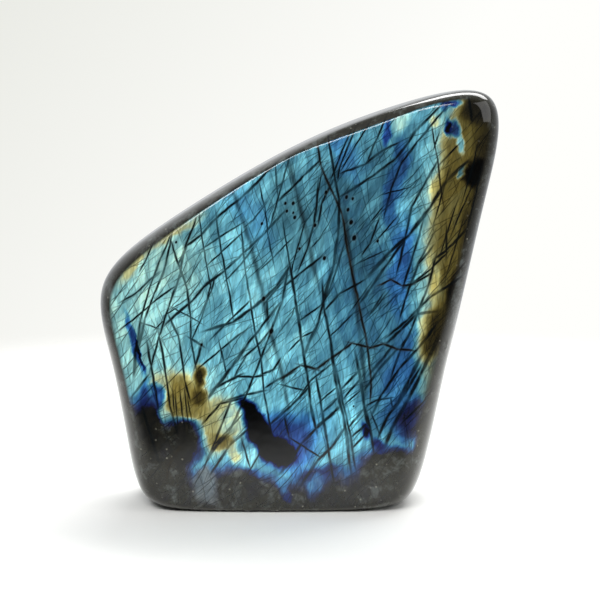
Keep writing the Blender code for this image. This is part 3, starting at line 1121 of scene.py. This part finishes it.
def surround(settings):
    """A world that is bright behind the stone and overhead, and dark in front of it."""
    world = bpy.data.worlds.new("surround")
    world.use_nodes = True
    tree = world.node_tree
    background = tree.nodes["Background"]
    output = tree.nodes["World Output"]
    direction = add(tree, "ShaderNodeTexCoord", out="Generated")
    parts = tree.nodes.new("ShaderNodeSeparateXYZ")
    tree.links.new(direction, parts.inputs[0])
    light = remap(tree, parts.outputs["Y"], -0.55, 0.75, 0.035, 0.85, "SMOOTHSTEP")
    tree.links.new(light, background.inputs["Strength"])
    background.inputs["Color"].default_value = opaque(linear("#F4F7FA"))
    shade = calculate_vector(tree, "DOT_PRODUCT", direction, (1.0, 0.0, -0.8), out="Value")
    shade = remap(tree, shade, -0.2, 0.1)
    seen = mix(tree, shade, opaque(settings.shaded_surround), opaque(settings.surround))
    seen = add(tree, "ShaderNodeBackground", {"Color": seen, "Strength": 1.0})
    camera_ray = add(tree, "ShaderNodeLightPath", out="Is Camera Ray")
    mixed = add(
        tree, "ShaderNodeMixShader", {0: camera_ray, 1: background.outputs[0], 2: seen})
    tree.links.new(mixed, output.inputs["Surface"])
    bpy.context.scene.world = world


def softbox(name, place, size, power):
    """Add a white area light at a place, turned to face the stone."""
    light = bpy.data.lights.new(name, "AREA")
    light.shape = "RECTANGLE"
    light.size, light.size_y = size
    light.energy = power
    lamp = bpy.data.objects.new(name, light)
    lamp.location = place
    towards = mathutils.Vector(AIM) - mathutils.Vector(place)
    lamp.rotation_euler = towards.to_track_quat("-Z", "Y").to_euler()
    bpy.context.scene.collection.objects.link(lamp)


def add_camera(settings):
    """Add the camera: level with the stone, looking a little down on its broad face."""
    look = np.array(CAMERA_LOOK) * MM
    tilt = settings.elevation
    place = look + settings.distance * np.array((0.0, -np.cos(tilt), np.sin(tilt)))
    data = bpy.data.cameras.new("camera")
    data.sensor_width = SENSOR
    data.lens = settings.lens
    data.clip_start = 0.01
    camera = bpy.data.objects.new("camera", data)
    camera.location = place
    camera.rotation_euler = (np.pi / 2 - tilt, 0.0, 0.0)
    bpy.context.scene.collection.objects.link(camera)
    bpy.context.scene.camera = camera


# ---- Operators, panel and start


class LABRADORITE_OT_stone(bpy.types.Operator):
    """Make the polished stone in place of the plain one"""

    bl_idname = "labradorite.stone"
    bl_label = "Polished stone"

    def execute(self, context):
        settings = context.scene.labradorite_stone
        mesh = closed_mesh("polished_stone", stone_rings(settings))
        mesh.materials.append(polished_labradorite(settings))
        stone = bpy.data.objects.new("polished_stone", mesh)
        context.scene.collection.objects.link(stone)
        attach(stone, "root")
        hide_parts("stone")
        return {"FINISHED"}


class LABRADORITE_OT_stage(bpy.types.Operator):
    """Make the table, the surround, the lights and the camera"""

    bl_idname = "labradorite.stage"
    bl_label = "Table, light and camera"

    def execute(self, context):
        settings = context.scene.labradorite_stage
        corners = np.array(((-1, -1, 0), (1, -1, 0), (1, 1, 0), (-1, 1, 0))) * 0.6
        mesh = bpy.data.meshes.new("table")
        mesh.from_pydata(corners.tolist(), [], [(0, 1, 2, 3)])
        mesh.materials.append(white_table(settings))
        table = bpy.data.objects.new("table", mesh)
        context.scene.collection.objects.link(table)

        surround(settings)
        for name, (place, size) in SOFTBOXES.items():
            softbox(name, place, size, getattr(settings, f"{name}_power"))
        add_camera(settings)
        context.scene.view_settings.view_transform = "Standard"
        return {"FINISHED"}


class LABRADORITE_PT_panel(bpy.types.Panel):
    """The parts of the labradorite scene"""

    bl_idname = "LABRADORITE_PT_panel"
    bl_label = "Labradorite freeform"
    bl_space_type = "VIEW_3D"
    bl_region_type = "UI"
    bl_category = "Labradorite"

    def draw(self, context):
        layout = self.layout
        for settings in (context.scene.labradorite_stone, context.scene.labradorite_stage):
            column = layout.column()
            for name in settings.__annotations__:
                column.prop(settings, name)
        layout.operator(LABRADORITE_OT_stone.bl_idname)
        layout.operator(LABRADORITE_OT_stage.bl_idname)


CLASSES = (
    StoneSettings,
    StageSettings,
    LABRADORITE_OT_stone,
    LABRADORITE_OT_stage,
    LABRADORITE_PT_panel,
)


def register():
    """Register the classes and hang their settings on the scene."""
    for cls in CLASSES:
        bpy.utils.register_class(cls)
    bpy.types.Scene.labradorite_stone = bpy.props.PointerProperty(type=StoneSettings)
    bpy.types.Scene.labradorite_stage = bpy.props.PointerProperty(type=StageSettings)


def unregister():
    """Undo register."""
    del bpy.types.Scene.labradorite_stage
    del bpy.types.Scene.labradorite_stone
    for cls in reversed(CLASSES):
        bpy.utils.unregister_class(cls)


def main():
    """Make the stone and its stage."""
    register()
    bpy.ops.labradorite.stone()
    bpy.ops.labradorite.stage()


if __name__ == "__main__":
    main()
